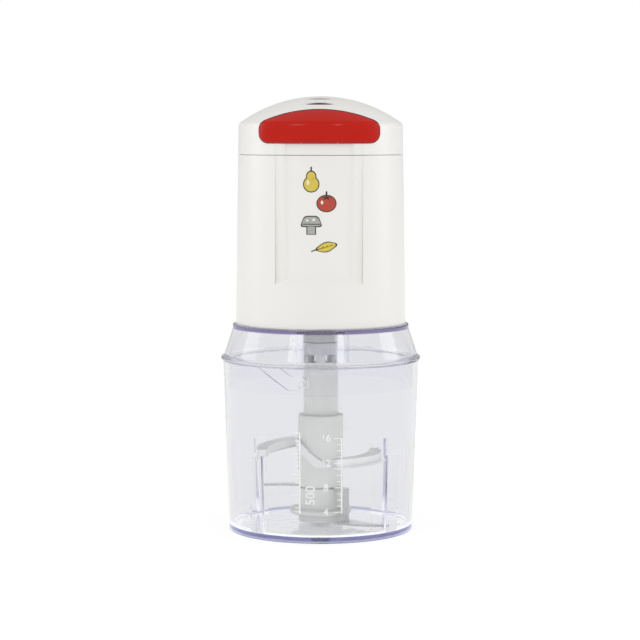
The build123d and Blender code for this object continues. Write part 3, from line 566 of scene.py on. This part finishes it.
def lay_print(name, shapes, radius_at, body, material, low, high, start=0.0):
    """Joins flat shapes, raises them to a printed layer and lays it round a wall of the object."""
    whole = bmesh.new()
    for shape in shapes:
        mesh = bpy.data.meshes.new("shape")
        shape.to_mesh(mesh)
        shape.free()
        whole.from_mesh(mesh)
        bpy.data.meshes.remove(mesh)
    reach = max(abs(vertex.co.x) for vertex in whole.verts)
    for strip in range(-int(reach / print_strip), int(reach / print_strip) + 1):
        bmesh.ops.bisect_plane(whole, geom=whole.verts[:] + whole.edges[:] + whole.faces[:],
                               plane_co=(strip * print_strip, 0, 0), plane_no=(1, 0, 0))
    bmesh.ops.recalc_face_normals(whole, faces=whole.faces)
    for face in whole.faces:
        if face.normal.y > 0:
            face.normal_flip()
    flat = whole.faces[:]
    raised = bmesh.ops.extrude_face_region(whole, geom=flat, use_keep_orig=True)
    lifted = [item for item in raised["geom"] if isinstance(item, bmesh.types.BMVert)]
    bmesh.ops.translate(whole, vec=(0, low - high, 0), verts=lifted)
    bmesh.ops.reverse_faces(whole, faces=flat)
    for vertex in whole.verts:
        across, out, height = vertex.co
        radius = radius_at(height) + low - out
        turn = math.radians(start) + across / radius_at(height)
        vertex.co = (radius * math.sin(turn), -radius * math.cos(turn), height)
    mesh = bpy.data.meshes.new(name)
    whole.to_mesh(mesh)
    whole.free()
    mesh.materials.append(material)
    piece = bpy.data.objects.new(name, mesh)
    scene.collection.objects.link(piece)
    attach(piece, body)


def print_scale():
    """Two plain scales on the bowl's front: ounces on the right, steps of a litre on the left."""
    ink = moulded("scale_ink", (0.93, 0.93, 0.93), 0.97, 0.4, 0.5, ink_skin)
    shapes = []
    left_top = scale_zero + top_steps * rise_per_step
    right_top = scale_zero + top_ounces * rise_per_ounce
    for side, top in ((-1, left_top), (1, right_top)):
        shapes.append(bar(side * scale_x, (scale_low + top) / 2, scale_line, top - scale_low))
    for ounces in range(4, top_ounces + 1):
        z = scale_zero + ounces * rise_per_ounce
        numbered = ounces % 4 == 0
        tick = tick_long if numbered else tick_short
        shapes.append(bar(scale_x - tick / 2, z, tick, tick_line))
        if numbered:
            shapes.append(flat_text(str(ounces), digit_x, z, digit_height))
    for step in range(6, top_steps + 1):
        tick = tick_short if step % 5 else tick_long
        shapes.append(bar(-scale_x - tick / 2, scale_zero + step * rise_per_step, tick, tick_line))
    shapes.append(flat_text("500", volume_x, volume_z, volume_height, volume_turn))
    lay_print("measuring_scale", shapes, wall_r, "bowl", ink, -ink_sink, ink_proud,
              camera_turn)


def print_motifs():
    """Four plain pictures of food kinds on the head: pear, tomato, mushroom and leaf, set to and fro."""
    def ink_of(name, colour, shade):
        return moulded(name, colour, shade, 0.35, 0.45, ink_skin)

    ink = ink_of("motif_ink", (0.035, 0.035, 0.032), 0.85)
    yellow = ink_of("motif_yellow", (0.72, 0.56, 0.07), 0.92)
    red = ink_of("motif_red", (0.5, 0.06, 0.03), 0.92)
    grey = ink_of("motif_grey", (0.42, 0.42, 0.4), 0.92)
    cream = ink_of("motif_cream", (0.85, 0.82, 0.7), 0.95)
    line, unit = motif_outline, motif_unit
    left, right = -motif_offset, motif_offset
    pear_z, tomato_z, mushroom_z, leaf_z = motif_rows

    def pear(x, z, grow):
        return [flat_disc(x, z - 1.2 * unit, 3.4 * unit + grow),
                flat_disc(x, z + 2.4 * unit, 2.0 * unit + grow, 1.15)]

    def tomato(x, z, grow):
        return [flat_disc(x, z, 4.3 * unit + grow, 0.86)]

    def cap(x, z, grow):
        wide, tall = 5.0 * unit + grow, 4.4 * unit + 2 * grow
        foot = z - 0.4 * unit - grow
        return [flat_shape([(x - wide, foot), (x + wide, foot), (x + wide * 0.62, foot + tall),
                            (x - wide * 0.62, foot + tall)], 1.6 * unit)]

    def leaf(x, z, grow):
        long, wide, slant = 5.6 * unit + 1.6 * grow, 2.5 * unit + grow, 1.5 * unit
        return [flat_shape([(x - long, z - slant), (x + 0.4 * unit, z - wide), (x + long, z + slant),
                            (x - 0.4 * unit, z + wide)], 2.4 * unit, 10)]

    def polygon(x, z, points):
        return flat_shape([(x + across * unit, z + up * unit) for across, up in points])

    def star_point(step):
        reach, turn = 0.9 if step % 2 else 2.6, math.radians(36 * step)
        return reach * math.sin(turn), 2.7 + 0.5 * reach * math.cos(turn)

    def print_on_head(name, shapes, material, low, high):
        lay_print(name, shapes, recess_r, "head", material, low, high)

    outlines = pear(left, pear_z, line) + tomato(right, tomato_z, line) + cap(left, mushroom_z, line)
    outlines += leaf(right, leaf_z, line)
    outlines.append(bar(left, pear_z + 6.0 * unit, 0.7 * unit, 2.0 * unit))
    outlines.append(bar(right, tomato_z + 4.8 * unit, 0.8 * unit, 1.8 * unit))
    outlines.append(bar(left, mushroom_z - 2.4 * unit, 3.6 * unit + 2 * line, 3.6 * unit + line))
    outlines.append(polygon(right, leaf_z, [(-4.2, -1.3), (-4.2, -0.7), (-7.2, -1.8), (-7.2, -2.4)]))
    print_on_head("motif_outlines", outlines, ink, -ink_sink, ink_proud)

    details = [polygon(right, leaf_z, [(4.6, 1.25), (-5.0, -1.2), (-5.0, -1.6)])]
    for along in (-2.4, -0.4, 1.6):
        root_x, root_z = right + along * unit, leaf_z + along * 0.26 * unit
        details.append(polygon(root_x, root_z, [(0, 0), (0.5, 0), (1.3, 1.3)]))
    details.append(polygon(right, tomato_z, [star_point(step) for step in range(10)]))
    details.append(bar(left, mushroom_z + 0.5 * unit, 8.2 * unit, 0.4 * unit))
    print_on_head("motif_line_parts", details, ink, ink_proud, detail_proud)

    lights = [flat_disc(left - 1.5 * unit, pear_z - 0.4 * unit, 0.6 * unit, 1.9),
              flat_disc(right - 2.1 * unit, tomato_z + 0.5 * unit, 0.6 * unit, 1.5),
              flat_disc(left - 1.9 * unit, mushroom_z + 2.3 * unit, 0.6 * unit, 0.9),
              flat_disc(left + 1.2 * unit, mushroom_z + 2.6 * unit, 0.75 * unit, 0.8)]
    print_on_head("motif_light_parts", lights, cream, ink_proud, detail_proud)

    yellows = pear(left, pear_z, 0) + leaf(right, leaf_z, 0)
    print_on_head("motif_yellow_parts", yellows, yellow, 0, fill_proud)
    print_on_head("motif_red_parts", tomato(right, tomato_z, 0), red, 0, fill_proud)
    stalk = bar(left, mushroom_z - 2.4 * unit, 3.6 * unit, 3.6 * unit)
    print_on_head("motif_grey_parts", cap(left, mushroom_z, 0) + [stalk], grey, 0, fill_proud)


place_camera()
light_world(side=0.87, zenith=0.75, gloss=0.5, through=0.835, mirrored=0.92, inside=1.6)
lay_floor(size=6.0, white=1.07, glow=0.8, through=0.83, through_glow=0.72, inside=1.9)
softbox("key_light", (-0.9, -1.45, 1.0), lamp_aim, width=0.5, height=0.5, watts=3.2)
softbox("fill_light", (0.75, -1.52, 1.0), lamp_aim, width=0.32, height=0.5, watts=2.6)
softbox("left_light", (-1.65, 0.2, 0.55), side_aim, width=0.7, height=0.8, watts=3.4)
softbox("right_light", (1.65, 0.2, 0.55), side_aim, width=0.7, height=0.8, watts=4.4)
dress_nodes()
coil_springs()
print_scale()
print_motifs()

scene.view_settings.view_transform = "Standard"
scene.cycles.max_bounces = 128
scene.cycles.glossy_bounces = 96
scene.cycles.transmission_bounces = 96
scene.cycles.use_denoising = True
